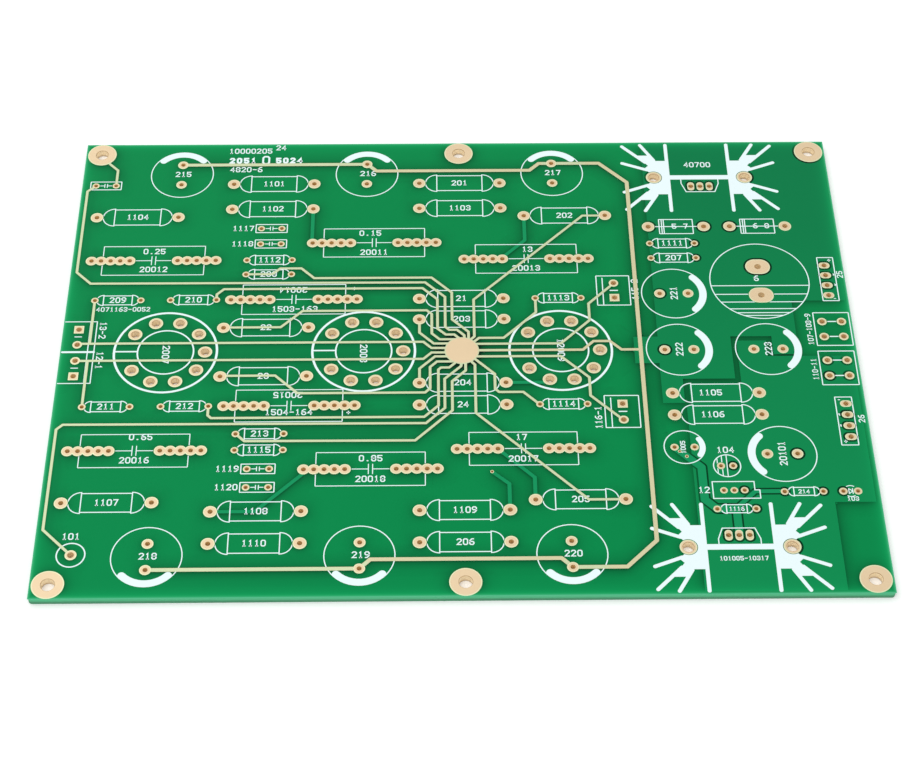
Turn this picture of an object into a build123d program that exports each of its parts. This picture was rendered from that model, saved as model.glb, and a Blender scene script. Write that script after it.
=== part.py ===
"""Phono preamplifier board: a bare, drilled, double-sided printed circuit board.

The board lies flat with its underside lands on z = 0 and its component side up.
X runs along the board, from the input terminals to the power supply.
Y runs across it: the two channels mirror each other about y = 0.
All sizes are millimetres.
"""
from build123d import *
from math import atan2, cos, degrees, hypot, pi, sin, sqrt
import os

# Board
board_length = 205.0
board_width = 150.0
board_thickness = 2.0
corner_radius = 1.0

# Layers that stand on each face of the laminate
foil = 0.05        # copper under the solder mask
tin = 0.03         # tin over bare copper
ink = 0.03         # printed legend
land_height = foil + tin
plating = 0.06     # copper wall of a plated hole
underside = land_height
topside = underside + board_thickness
overall_height = topside + land_height

# Tracks and clearances
track_width = 0.72          # bare tracks that run to the ground star
bus_width = 1.08
link_width = 0.78           # from the bus to the ground star
masked_track_width = 1.0
clearance = 0.5             # bare laminate round an isolated land
track_gap = 0.4             # bare laminate beside a track that crosses a copper area

# Legend lines
ink_line = 0.26             # ordinary line
fine_line = 0.22            # frames of the film capacitors, plates and other fine marks
firm_line = 0.32            # marks between terminals and round the ground wire
bold_line = 0.58            # outer circle of a tube socket
socket_inner_line = 0.38
socket_key_line = 0.42
fin_line = 0.95             # fins of a heat sink
print_gap = 0.15            # between print and a bare land

# Lead spacings
pin_pitch = 2.54
strip_span = 9 * pin_pitch            # between the two five-hole strips of a film capacitor
strip_holes = 5
terminal_pitch = 5.08
large_resistor_span = 22.0
small_resistor_span = 12.0
short_resistor_span = 9.5
small_capacitor_span = 5.5
electrolytic_span = 7.5
diode_span = 15.0
rectifier_pitch = 3.5
reservoir_span = 10.0

# Fastening holes
mounting_x = 98.1
mounting_y = 71.0
mounting_middle_x = 0.7
mounting_bore = 3.4
mounting_land = 7.9
heat_sink_span = 25.0
heat_sink_bore = 2.8
heat_sink_land = 4.3

# Ground star
star_centre = (0.7, 0.0)
star_radius = 4.45

# Lands, across their outside
electrolytic_land = 2.88
large_resistor_land = 3.42
small_resistor_land = 1.95
terminal_land = 2.5
square_land = 2.55
rectifier_land = (3.0, 2.1)
regulator_land = (3.1, 1.9)
diode_land = 3.42
reservoir_land = (6.6, 5.2)
adjust_capacitor_land = 2.0
trimmer_land = 1.9
lamp_land = 2.1

# Legend outlines
socket_outer_radius = 13.2
socket_inner_radius = 7.2
electrolytic_radius = 8.5
output_electrolytic_radius = 5.1
adjust_electrolytic_radius = 3.35
reservoir_radius = 13.1
ground_ring_radius = 3.4
resistor_body = (6.2, 2.8, 3.1)           # half length, half height, radius of the end caps
small_resistor_body = (3.75, 1.55, 1.75)
short_resistor_body = (2.5, 1.2, 1.35)
film_capacitor_body = (27.0, 10.2)
small_capacitor_body = (8.4, 2.95)
diode_body = (9.1, 5.2)
output_terminal_body = (8.7, 10.2)
supply_terminal_body = (9.3, 11.1)
rectifier_body = (4.25, 15.2)


# ---------------------------------------------------------------- places

def mirrored(places):
    """The same places in both channels, above and below the centre line."""
    return [(x, side * y) for x, y in places for side in (1, -1)]


def lead_pair(centres, span, upright=False):
    """Both lead holes of two-lead parts that are centred on the given places."""
    half = span / 2
    if upright:
        return [(x, y + s * half) for x, y in centres for s in (1, -1)]
    return [(x + s * half, y) for x, y in centres for s in (-1, 1)]


def row_of(centre, count, pitch, upright=False):
    """A straight row of holes about a centre."""
    steps = [(i - (count - 1) / 2) * pitch for i in range(count)]
    x, y = centre
    return [(x, y - s) if upright else (x + s, y) for s in steps]


mounting_holes = mirrored([(x, mounting_y) for x in (-mounting_x, mounting_middle_x, mounting_x)])

# Channel parts, each listed by its centre
tube_sockets = [(-75.45, 0.0), (-24.55, 0.0), (26.15, 0.0)]
socket_pin_circle = 10.16
socket_positions = 10
channel_large_resistors = mirrored([
    (-50.0, 59.6), (-50.0, 50.2), (0.8, 59.6), (0.8, 50.2), (-86.4, 47.35),
    (29.1, 47.25), (-50.0, 8.1), (0.8, 17.7), (0.8, 10.6)])
channel_small_resistors = mirrored([
    (-89.2, 17.7), (-69.4, 17.7), (-50.1, 26.55), (-50.1, 31.6), (26.2, 17.7)])
channel_electrolytics = mirrored([(-75.4, 63.25), (-24.6, 63.25), (26.3, 63.25)])
small_capacitors = mirrored([(-50.0, 43.0), (-50.0, 37.4)]) + [(-96.0, 59.2)]
film_capacitors = (mirrored([(-80.9, 31.6), (-22.3, 37.65), (-43.1, 17.7)])
                   + [(18.25, 31.6), (15.6, -31.65)])

# Power supply parts
power_large_resistors = [(64.95, -14.4), (64.95, -21.4)]
power_small_resistors = [(57.6, 36.85), (57.6, 31.6)]
short_resistors = [(83.85, -45.35), (66.9, -50.4)]
power_electrolytics = [(56.75, 19.05), (56.75, -0.1), (79.75, -0.1)]
heater_electrolytic = (79.8, -33.8)
reservoir = (79.75, 23.3)
diodes = [(59.1, 42.95), (81.1, 42.95)]
heat_sinks = [(66.85, 61.35, 1), (66.75, -61.55, -1)]   # the last value points to mid-board
regulator_offset = 3.4
output_electrolytic = (55.65, -31.55)
output_electrolytic_span = 5.0
adjust_electrolytic = (65.7, -37.4)
adjust_electrolytic_span = 3.0
trimmer = (66.8, -44.85)
lamp = (95.3, -45.35)
lamp_span = 3.6
upper_rectifier = (97.5, 23.35)
lower_rectifier = (97.5, -23.4)
mains_terminal = (97.2, 6.5)
heater_terminal = (97.05, -6.5)
input_terminal_x = -98.35
output_terminal = (41.05, 20.25)
ground_wire = (-93.5, -62.6)
vias = [(7.65, -38.7), (54.35, -32.85), (56.0, -34.4)]

strip_centres = lead_pair(film_capacitors, strip_span)
strip_places = [hole for strip in strip_centres for hole in row_of(strip, strip_holes, pin_pitch)]
socket_places = [
    (x + socket_pin_circle * cos(2 * pi * k / socket_positions),
     y + socket_pin_circle * sin(2 * pi * k / socket_positions))
    for x, y in tube_sockets for k in range(-4, 5)]
heat_sink_places = [(x + s * heat_sink_span / 2, y) for x, y, _ in heat_sinks for s in (-1, 1)]
regulator_centres = [(x, y - inward * regulator_offset) for x, y, inward in heat_sinks]
regulator_places = [hole for centre in regulator_centres for hole in row_of(centre, 3, pin_pitch)]
input_square = mirrored([(input_terminal_x, 1.525 * terminal_pitch)])
input_round = mirrored([(input_terminal_x, 0.525 * terminal_pitch)])
output_square = mirrored([(output_terminal[0], output_terminal[1] - terminal_pitch / 2)])
output_round = mirrored([(output_terminal[0], output_terminal[1] + terminal_pitch / 2)])
mains_places = lead_pair(lead_pair([mains_terminal], terminal_pitch), terminal_pitch, upright=True)
heater_places = lead_pair(lead_pair([heater_terminal], terminal_pitch), terminal_pitch, upright=True)
upper_rectifier_places = row_of(upper_rectifier, 4, rectifier_pitch, upright=True)
lower_rectifier_places = row_of(lower_rectifier, 4, rectifier_pitch, upright=True)
trimmer_places = row_of(trimmer, 3, pin_pitch)

# Plated lands, node by node: places, shape, size and bore
lands = {
    "mounting_hole_lands": [(mounting_holes, "disc", mounting_land, mounting_bore)],
    "heat_sink_lands": [(heat_sink_places, "disc", heat_sink_land, heat_sink_bore)],
    "tube_socket_lands": [(socket_places, "disc", 3.68, 2.1)],
    "film_capacitor_strips": [(strip_places, "disc", 3.08, 1.1)],
    "channel_electrolytic_lands": [
        (lead_pair(channel_electrolytics, electrolytic_span, upright=True),
         "disc", electrolytic_land, 1.1)],
    "power_electrolytic_lands": [
        (lead_pair(power_electrolytics + [heater_electrolytic], electrolytic_span),
         "disc", electrolytic_land, 1.1)],
    "large_resistor_lands": [
        (lead_pair(channel_large_resistors + power_large_resistors, large_resistor_span),
         "disc", large_resistor_land, 1.15)],
    "small_resistor_lands": [
        (lead_pair(channel_small_resistors + power_small_resistors, small_resistor_span),
         "disc", small_resistor_land, 0.95),
        (lead_pair(short_resistors, short_resistor_span), "disc", small_resistor_land, 0.95)],
    "small_capacitor_lands": [
        (lead_pair(small_capacitors, small_capacitor_span), "disc", small_resistor_land, 0.95)],
    "input_terminal_lands": [
        (input_square, "square", square_land, 1.3), (input_round, "disc", terminal_land, 1.3)],
    "output_terminal_lands": [
        (output_square, "square", square_land, 1.3), (output_round, "disc", terminal_land, 1.3)],
    "mains_terminal_lands": [(mains_places, "disc", terminal_land, 1.3)],
    "heater_terminal_lands": [(heater_places, "disc", terminal_land, 1.3)],
    "rectifier_lands": [
        (upper_rectifier_places + lower_rectifier_places, "oblong", rectifier_land, 1.2)],
    "regulator_lands": [(regulator_places, "upright oblong", regulator_land, 1.1)],
    "diode_lands": [(lead_pair(diodes, diode_span), "disc", diode_land, 1.3)],
    "reservoir_capacitor_lands": [
        (lead_pair([reservoir], reservoir_span, upright=True), "oblong", reservoir_land, 1.6)],
    "output_capacitor_lands": [
        (lead_pair([output_electrolytic], output_electrolytic_span), "disc", 2.1, 0.95)],
    "adjust_capacitor_lands": [
        (lead_pair([adjust_electrolytic], adjust_electrolytic_span),
         "disc", adjust_capacitor_land, 0.9)],
    "trimmer_lands": [(trimmer_places, "disc", trimmer_land, 0.9)],
    "lamp_lands": [(lead_pair([lamp], lamp_span), "disc", lamp_land, 0.95)],
    "ground_wire_land": [([ground_wire], "disc", electrolytic_land, 1.5)],
    "via_lands": [(vias, "disc", 0.95, 0.5)],
}


# ---------------------------------------------------------------- drawing

def draw_land(places, shape, size, grow=0.0, mode=Mode.ADD):
    """Land outlines at the given places, grown all round if asked."""
    with Locations(*places):
        if shape == "disc":
            Circle(size / 2 + grow, mode=mode)
        elif shape == "square":
            Rectangle(size + 2 * grow, size + 2 * grow, mode=mode)
        else:
            turn = 90 if shape == "upright oblong" else 0
            SlotOverall(size[0] + 2 * grow, size[1] + 2 * grow, rotation=turn, mode=mode)


def draw_bores(grow=0.0, mode=Mode.ADD):
    """Every drilled hole of the board."""
    for group in lands.values():
        for places, _, _, bore in group:
            with Locations(*places):
                Circle(bore / 2 + grow, mode=mode)


def draw_track(route, width, mode=Mode.ADD):
    """A track through the given points, drawn as a round tool would draw it."""
    for (x0, y0), (x1, y1) in zip(route, route[1:]):
        with Locations(((x0 + x1) / 2, (y0 + y1) / 2)):
            SlotCenterToCenter(hypot(x1 - x0, y1 - y0), width,
                               rotation=degrees(atan2(y1 - y0, x1 - x0)), mode=mode)


def draw_ring(radius, line=ink_line):
    """A circle drawn with a line of the given width."""
    Circle(radius + line / 2)
    Circle(radius - line / 2, mode=Mode.SUBTRACT)


def draw_frame(length, width, line=ink_line):
    """A rectangle with softened corners, drawn with a line."""
    RectangleRounded(length + line, width + line, line)
    Rectangle(length - line, width - line, mode=Mode.SUBTRACT)


def draw_bar(x0, y0, x1, y1, line=ink_line):
    """One straight printed line from point to point."""
    draw_track([(x0, y0), (x1, y1)], line)


def draw_polarity_mark(radius, line, half_angle):
    """A thick arc with round ends that shows a lead's polarity, on the +X side."""
    SlotArc(Edge.make_circle(radius, start_angle=-half_angle, end_angle=half_angle), line)


def draw_resistor(half_body, half_height, cap_radius):
    """A resistor outline: a box with a half-round cap on each end."""
    with Locations((-half_body, 0), (half_body, 0)):
        Circle(cap_radius + ink_line / 2)
        Circle(cap_radius - ink_line / 2, mode=Mode.SUBTRACT)
    Rectangle(2 * half_body, 3 * cap_radius, mode=Mode.SUBTRACT)
    with Locations((0, -half_height), (0, half_height)):
        Rectangle(2 * half_body, ink_line)
    with Locations((-half_body, 0), (half_body, 0)):
        Rectangle(ink_line, 2 * cap_radius + ink_line)


def draw_stripes(radius, levels, line=ink_line):
    """Level chords across a circle at the given heights."""
    for y in levels:
        half_chord = sqrt(radius ** 2 - y ** 2)
        draw_bar(-half_chord, y, half_chord, y, line)


def draw_capacitor_mark(plate_x, plate_half, lead_end):
    """Two short plates with a lead out to each side."""
    for side in (-1, 1):
        draw_bar(side * plate_x, -plate_half, side * plate_x, plate_half, fine_line)
        draw_bar(side * plate_x, 0, side * lead_end, 0, fine_line)


# ---------------------------------------------------------------- copper tracks

# Thin bare tracks that run to the ground star, upper channel then lower channel
star_tracks = [
    [(-98.7, 59.2), (-100.9, 57.2), (-100.9, 27.6), (-96.9, 23.6), (-8.7, 23.4), (-3.5, 18.3),
     (-3.5, 8.0), (-2.5, 7.0), (-0.5, 7.0), (1.4, 5.1), (1.4, 3.0)],
    [(-63.4, 17.7), (-63.4, 19.6), (-61.6, 21.4), (-9.4, 21.4), (-5.5, 17.5), (-5.5, 7.4),
     (-3.4, 5.4), (-1.2, 5.4), (0.2, 4.0)],
    [(-56.1, 26.6), (-49.1, 26.6), (-47.1, 28.6), (-41.5, 28.6), (-38.0, 25.1), (-7.0, 25.1),
     (-1.7, 19.8), (-1.7, 10.5), (2.5, 6.3), (2.5, 3.0)],
    [(-61.0, 8.2), (-46.2, 8.2), (-40.7, 13.7), (-8.3, 13.7), (-7.0, 12.4), (-7.0, 5.8),
     (-5.0, 3.8), (-1.0, 3.8)],
    [(-10.2, 10.6), (-10.2, 6.1), (-6.5, 2.4), (-2.0, 2.4)],
    [(-98.35, 3.0), (-9.2, 3.0), (-7.1, 0.9), (-2.0, 0.9)],
    [(-95.2, 17.7), (-95.2, 3.0)],
    [(40.1, 47.2), (34.0, 47.2), (4.0, 17.3), (4.0, 4.7), (3.0, 3.6)],
    [(20.2, 17.7), (20.2, 12.8), (11.6, 4.2), (5.2, 4.2), (3.5, 2.6)],
    [(41.1, 22.7), (34.1, 15.7), (34.1, 10.0), (26.3, 2.2), (3.0, 2.2)],
    [(-93.5, -62.6), (-100.9, -55.2), (-100.9, -24.8), (-99.4, -23.3), (-8.6, -23.5), (-3.8, -18.7),
     (-3.8, -9.3), (0.4, -5.2), (0.6, -4.0)],
    [(-63.4, -17.7), (-63.4, -20.6), (-62.5, -21.5), (-9.0, -21.5), (-5.4, -17.9), (-5.4, -6.3),
     (-4.7, -5.6), (-2.6, -5.6), (-1.2, -4.2)],
    [(-61.0, -7.9), (-47.0, -7.9), (-41.1, -13.7), (-8.8, -13.7), (-7.5, -12.4), (-7.5, -5.4),
     (-5.7, -3.6), (-1.5, -3.6)],
    [(-56.1, -26.5), (-53.8, -28.8), (-11.3, -28.9), (-1.9, -19.5), (-1.9, -10.1), (1.6, -6.6),
     (1.6, -3.5)],
    [(-10.2, -10.6), (-10.2, -5.9), (-6.2, -1.9), (-2.0, -1.9)],
    [(-98.35, -2.7), (-9.2, -2.7), (-7.1, -0.6), (-2.0, -0.6)],
    [(-95.2, -17.7), (-95.2, -2.7)],
    [(40.1, -47.3), (31.1, -47.3), (4.0, -20.4), (4.0, -4.7), (3.2, -3.8)],
    [(20.2, -17.8), (16.1, -13.7), (10.0, -13.7), (9.0, -12.7), (9.0, -7.8), (3.5, -2.3)],
    [(41.0, -22.9), (33.1, -15.0), (33.1, -9.1), (26.0, -2.0), (3.0, -2.0)],
]

# Wide bare bus round the channel electrolytics
bus_track = [
    (-75.4, 67.0), (-24.6, 67.0), (-22.0, 64.4), (20.2, 64.4), (22.8, 67.0), (39.4, 67.0),
    (46.8, 59.6), (46.8, -59.5), (39.3, -67.0), (26.3, -67.0), (23.7, -64.4), (-22.0, -64.4),
    (-24.6, -67.0), (-75.4, -67.0)]

# Link from the bus to the ground star
bus_link = [(3.0, 0.05), (31.9, 0.05), (34.75, 2.9), (39.0, 2.9), (41.85, 0.05), (46.8, 0.05)]

# Bare track from a mounting hole to its small capacitor
chassis_tracks = [[(-98.1, 70.0), (-93.25, 65.1), (-93.25, 59.2)]]

# Signal tracks under the solder mask
masked_tracks = [
    [(-39.0, 50.2), (-39.0, 37.65)],
    [(18.1, 47.25), (18.1, 38.3), (11.4, 31.6)],
    [(-61.0, -50.2), (-50.2, -50.2), (-37.6, -37.65)],
    [(18.1, -47.25), (18.1, -40.5), (9.2, -31.65)],
    [(11.8, -50.2), (11.8, -42.4), (7.65, -38.7)],
    [(11.8, -10.6), (23.0, -10.6)],
]

# Regulator output copper: from the output capacitor past the resistors to the middle pin
output_copper = [
    ([(53.15, -31.55), (59.35, -37.75), (59.35, -47.55), (62.15, -50.35)], 2.1),
    ([(62.15, -50.3), (66.9, -50.3)], 2.4),
    ([(66.85, -50.3), (66.85, -58.15)], 2.0),
    ([(67.3, -49.8), (71.9, -45.2), (79.1, -45.2)], 1.2),
]

# Copper areas of the power supply, by their corners
upper_area = [
    (51.4, 74.4), (51.4, 4.3), (45.1, 4.3), (45.1, -4.6), (51.3, -4.6), (51.3, -17.6), (56.9, -17.6),
    (56.9, -9.8), (70.3, -9.8), (70.3, 4.2), (80.9, 4.2), (80.9, -1.85), (87.5, -1.85), (87.5, 16.3),
    (101.8, 16.3), (101.8, 74.4)]
lower_area = [
    (71.7, 2.8), (79.4, 2.8), (79.4, -2.4), (101.2, -2.4), (101.2, -48.6), (91.1, -48.6),
    (91.1, -74.2), (57.2, -74.2), (57.2, -18.5), (58.3, -18.5), (58.3, -11.2), (71.7, -11.2)]

# Lands that stand clear of the copper areas round them
isolated_lands = [
    (mounting_holes, "disc", mounting_land),
    (heat_sink_places, "disc", heat_sink_land),
    (lead_pair(diodes, diode_span)[:3], "disc", diode_land),
    (lead_pair(power_small_resistors, small_resistor_span), "disc", small_resistor_land),
    (lead_pair(power_electrolytics[:2], electrolytic_span)[::2], "disc", electrolytic_land),
    (lead_pair([heater_electrolytic], electrolytic_span)[1:], "disc", electrolytic_land),
    (lead_pair([reservoir], reservoir_span, upright=True)[:1], "oblong", reservoir_land),
    (upper_rectifier_places[:3] + lower_rectifier_places[1:], "oblong", rectifier_land),
    (regulator_places, "upright oblong", regulator_land),
    (lead_pair(short_resistors, short_resistor_span), "disc", small_resistor_land),
    (lead_pair([adjust_electrolytic], adjust_electrolytic_span)[1:], "disc", adjust_capacitor_land),
    (trimmer_places[2:], "disc", trimmer_land),
    (lead_pair([lamp], lamp_span)[:1], "disc", lamp_land),
    (heater_places, "disc", terminal_land),
]


# ---------------------------------------------------------------- flat outlines

with BuildSketch() as all_lands:
    for group in lands.values():
        for places, shape, size, _ in group:
            draw_land(places, shape, size)

with BuildSketch() as star:
    with Locations(star_centre):
        Circle(star_radius)
    for route in star_tracks:
        draw_track(route, track_width)
    add(all_lands.sketch, mode=Mode.SUBTRACT)

with BuildSketch() as bus:
    draw_track(bus_track, bus_width)
    draw_track(bus_link, link_width)
    add(all_lands.sketch, mode=Mode.SUBTRACT)
    with Locations(star_centre):
        Circle(star_radius, mode=Mode.SUBTRACT)

with BuildSketch() as chassis:
    for route in chassis_tracks:
        draw_track(route, track_width)
    add(all_lands.sketch, mode=Mode.SUBTRACT)

with BuildSketch() as bare_copper:
    add(all_lands.sketch)
    add(star.sketch)
    add(bus.sketch)
    add(chassis.sketch)

with BuildSketch() as masked:
    for route in masked_tracks:
        draw_track(route, masked_track_width)
    add(bare_copper.sketch, mode=Mode.SUBTRACT)

with BuildSketch() as output:
    for route, width in output_copper:
        draw_track(route, width)
    add(bare_copper.sketch, mode=Mode.SUBTRACT)


def draw_copper_area(corners):
    """A masked copper area, kept clear of isolated lands and of the output copper."""
    Polygon(*corners, align=None)
    for places, shape, size in isolated_lands:
        draw_land(places, shape, size, grow=clearance, mode=Mode.SUBTRACT)
    for route, width in output_copper:
        draw_track(route, width + 2 * track_gap, mode=Mode.SUBTRACT)
    add(bare_copper.sketch, mode=Mode.SUBTRACT)


with BuildSketch() as upper:
    draw_copper_area(upper_area)

with BuildSketch() as lower:
    draw_copper_area(lower_area)


# ---------------------------------------------------------------- legend symbols

# Each symbol is drawn once about its own centre

with BuildSketch() as socket_symbol:
    draw_ring(socket_outer_radius, bold_line)
    draw_ring(socket_inner_radius, socket_inner_line)
    draw_bar(-socket_outer_radius, 0.25, -socket_inner_radius, 0.25, socket_key_line)

with BuildSketch() as electrolytic_symbol:
    draw_ring(electrolytic_radius)
    draw_polarity_mark(7.65, 1.9, 46)

with BuildSketch() as output_electrolytic_symbol:
    draw_ring(output_electrolytic_radius)
    draw_polarity_mark(4.4, 1.3, 34)

with BuildSketch() as adjust_electrolytic_symbol:
    draw_ring(adjust_electrolytic_radius)
    draw_stripes(adjust_electrolytic_radius, (0.0, 1.2, 2.35), fine_line)

with BuildSketch() as reservoir_symbol:
    draw_ring(reservoir_radius)
    draw_stripes(reservoir_radius, (-1.7, -4.7, -7.4, -9.75, -11.1, -12.05))

with BuildSketch() as large_resistor_symbol:
    draw_resistor(*resistor_body)

with BuildSketch() as small_resistor_symbol:
    draw_resistor(*small_resistor_body)

with BuildSketch() as short_resistor_symbol:
    draw_resistor(*short_resistor_body)

with BuildSketch() as film_capacitor_symbol:
    draw_frame(*film_capacitor_body, fine_line)
    draw_capacitor_mark(0.52, 1.45, 4.6)

with BuildSketch() as small_capacitor_symbol:
    draw_frame(*small_capacitor_body)
    draw_capacitor_mark(0.35, 0.6, 1.55)

with BuildSketch() as diode_symbol:
    draw_frame(*diode_body)
    for x in (-3.85, -3.3):
        draw_bar(x, -diode_body[1] / 2, x, diode_body[1] / 2)
    draw_bar(-5.6, 0, 5.6, 0)

with BuildSketch() as input_terminal_symbol:
    outer_edge = -board_length / 2 + ink_line
    inner_edge = -93.85
    for y, line in ((-10.1, ink_line), (0.2, bold_line), (10.4, ink_line)):
        draw_bar(outer_edge + line / 2, y, inner_edge, y, line)
    for x in (inner_edge, -95.5):
        draw_bar(x, -10.1, x, 10.4)
    for y in (-5.1, 5.3):
        draw_bar(-99.2, y, -97.5, y)

with BuildSketch() as output_terminal_symbol:
    draw_frame(*output_terminal_body)
    draw_bar(-2.75, -4.9, -2.75, 4.3)
    draw_bar(-0.8, 0, 1.1, 0, firm_line)

with BuildSketch() as supply_terminal_symbol:
    draw_frame(*supply_terminal_body)
    for y in (-terminal_pitch / 2, terminal_pitch / 2):
        draw_bar(-1.1, y, 1.1, y, firm_line)

with BuildSketch() as rectifier_symbol:
    draw_frame(*rectifier_body)

with BuildSketch() as regulator_symbol:
    for side in (-1, 1):
        draw_track([(5.1 * side, -0.9), (5.1 * side, -2.35), (3.95 * side, -5.45), (0, -5.45)], ink_line)

with BuildSketch() as trimmer_symbol:
    draw_track([(61.55, -42.25), (71.85, -42.25), (71.85, -44.8), (73.05, -44.8),
                (73.05, -47.3), (61.55, -47.3), (61.55, -42.25)], ink_line)

with BuildSketch() as lamp_symbol:
    draw_track([(-0.45, 0.75), (-0.45, -0.75), (0.5, 0.0), (-0.45, 0.75)], fine_line)
    draw_bar(0.5, -0.75, 0.5, 0.75, fine_line)
    for side in (-1, 1):
        with Locations(Location((0, 0), 90 * side)):
            SlotArc(Edge.make_circle(1.65, start_angle=-32, end_angle=32), fine_line)

with BuildSketch() as ground_symbol:
    draw_ring(ground_ring_radius, firm_line)

# Extruded heat sink seen from above: a bar between two combs of fins
with BuildSketch() as heat_sink_symbol:
    Rectangle(16.4, 1.6)
    with BuildSketch(mode=Mode.PRIVATE) as comb:
        Polygon((8.05, -1.6), (13.2, -1.6), (14.95, -3.3), (13.75, -4.5), (16.7, -8.45), (12.9, -8.45),
                (11.6, -6.35), (8.05, -6.35), align=None)
        draw_bar(8.5, 0, 8.5, -12.5, fin_line)
        draw_bar(12.1, -6.6, 15.55, -12.5, fin_line)
        draw_bar(14.5, -5.8, 20.6, -12.0, fin_line)
        draw_bar(14.2, -2.9, 20.9, -5.5, fin_line)
        Polygon((8.05, 0), (13.2, 0), (13.2, -1.7), (8.05, -1.7), align=None)
        mirror(about=Plane.XZ)
    add(comb.sketch)
    mirror(comb.sketch, about=Plane.YZ)

# Legend nodes: symbol, places and turn in degrees
legends = {
    "legend_tube_sockets": [(socket_symbol, tube_sockets, 0)],
    "legend_channel_electrolytics": [
        (electrolytic_symbol, [place for place in channel_electrolytics if place[1] > 0], 90),
        (electrolytic_symbol, [place for place in channel_electrolytics if place[1] < 0], -90)],
    "legend_power_electrolytics": [
        (electrolytic_symbol, power_electrolytics, 0),
        (electrolytic_symbol, [heater_electrolytic], 180),
        (output_electrolytic_symbol, [output_electrolytic], 0),
        (adjust_electrolytic_symbol, [adjust_electrolytic], 90)],
    "legend_reservoir_capacitor": [(reservoir_symbol, [reservoir], 0)],
    "legend_large_resistors": [
        (large_resistor_symbol, channel_large_resistors + power_large_resistors, 0)],
    "legend_small_resistors": [
        (small_resistor_symbol, channel_small_resistors + power_small_resistors, 0),
        (short_resistor_symbol, short_resistors, 0)],
    "legend_film_capacitors": [(film_capacitor_symbol, film_capacitors, 0)],
    "legend_small_capacitors": [(small_capacitor_symbol, small_capacitors, 0)],
    "legend_diodes": [(diode_symbol, diodes, 0)],
    "legend_rectifiers": [
        (rectifier_symbol, [(upper_rectifier[0] + 0.45, 23.8), (lower_rectifier[0] - 0.5, -23.65)], 0)],
    "legend_regulators": [
        (regulator_symbol, [heat_sinks[0][:2]], 0),
        (regulator_symbol, [heat_sinks[1][:2]], 180)],
    "legend_heat_sinks": [(heat_sink_symbol, [sink[:2] for sink in heat_sinks], 0)],
    "legend_trimmer": [(trimmer_symbol, [(0, 0)], 0)],
    "legend_lamp": [(lamp_symbol, [lamp], 0)],
    "legend_signal_terminals": [
        (input_terminal_symbol, [(0, 0)], 0),
        (output_terminal_symbol, mirrored([(40.85, 20.2)]), 0)],
    "legend_supply_terminals": [(supply_terminal_symbol, [mains_terminal, heater_terminal], 0)],
    "legend_ground_wire": [(ground_symbol, [ground_wire], 0)],
}

# Print stops short of bare lands and tracks
with BuildSketch() as no_print:
    for group in lands.values():
        for places, shape, size, _ in group:
            draw_land(places, shape, size, grow=print_gap)
    add(star.sketch)
    add(bus.sketch)
    add(chassis.sketch)

with BuildSketch() as masked_copper:
    for outline in (masked, output, upper, lower):
        add(outline.sketch)


# ---------------------------------------------------------------- solids

os.makedirs("parts", exist_ok=True)


def finish(part, name):
    """Name a finished piece and write its file."""
    part.label = name
    export_step(part, f"parts/{name}.step")
    print(f"{name}: {len(part.solids())} solids, {part.volume:.2f} mm3, valid {part.is_valid}")


# Laminate with its solder mask, drilled through for every plated hole
with BuildPart() as laminate:
    with BuildSketch(Plane.XY.offset(underside)):
        RectangleRounded(board_length, board_width, corner_radius)
        draw_bores(grow=plating, mode=Mode.SUBTRACT)
    extrude(amount=board_thickness)
finish(laminate.part, "board_laminate")

# Plated lands: a land on each face, joined by the copper wall of the hole
for name, group in lands.items():
    with BuildPart() as plated:
        for level in (0.0, topside):
            with BuildSketch(Plane.XY.offset(level)):
                for places, shape, size, _ in group:
                    draw_land(places, shape, size)
            extrude(amount=land_height)
        with BuildSketch():
            for places, _, _, bore in group:
                with Locations(*places):
                    Circle(bore / 2 + plating)
        extrude(amount=overall_height)
        with BuildSketch():
            for places, _, _, bore in group:
                with Locations(*places):
                    Circle(bore / 2)
        extrude(amount=overall_height, mode=Mode.SUBTRACT)
    finish(plated.part, name)

# Tracks and copper areas on the component side
copper_layers = {
    "star_ground_tracks": (star, land_height),
    "ground_bus": (bus, land_height),
    "chassis_ground_track": (chassis, land_height),
    "masked_signal_tracks": (masked, foil),
    "regulator_output_copper": (output, foil),
    "upper_copper_area": (upper, foil),
    "lower_copper_area": (lower, foil),
}
for name, (outline, height) in copper_layers.items():
    with BuildPart() as copper:
        with BuildSketch(Plane.XY.offset(topside)):
            add(outline.sketch)
        extrude(amount=height)
    finish(copper.part, name)

# Printed legend: it lies on the laminate and climbs over the copper areas
taken = []
for name, drawings in legends.items():
    with BuildSketch() as drawing:
        for symbol, places, turn in drawings:
            with Locations(*[Location((x, y, 0), (0, 0, turn)) for x, y in places]):
                add(symbol.sketch)
        add(no_print.sketch, mode=Mode.SUBTRACT)
        for earlier in taken:
            add(earlier, mode=Mode.SUBTRACT)
    taken.append(drawing.sketch)
    with BuildSketch() as on_laminate:
        add(drawing.sketch)
        add(masked_copper.sketch, mode=Mode.SUBTRACT)
    with BuildPart() as legend:
        with BuildSketch(Plane.XY.offset(topside)):
            add(on_laminate.sketch)
        extrude(amount=foil)
        with BuildSketch(Plane.XY.offset(topside + foil)):
            add(drawing.sketch)
        extrude(amount=ink)
    finish(legend.part, name)
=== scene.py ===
"""Looks of a bare phono preamplifier board, laid out as a Blender add-on.

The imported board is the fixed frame. Each operator finishes one layer of it: the laminate with its solder mask,
the copper under the mask, the mask's thick rim beside bare metal, the plated lands, the bare tracks, the printed
legend, the printed numbers, and the stage. Lengths are in metres unless a name says mm.
"""
from math import cos, radians, sin

import bpy
import numpy as np
from bpy.props import FloatProperty, FloatVectorProperty, PointerProperty
from bpy.types import NodeSocket, Operator, Panel, PropertyGroup, Scene
from mathutils import Matrix, Vector


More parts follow.
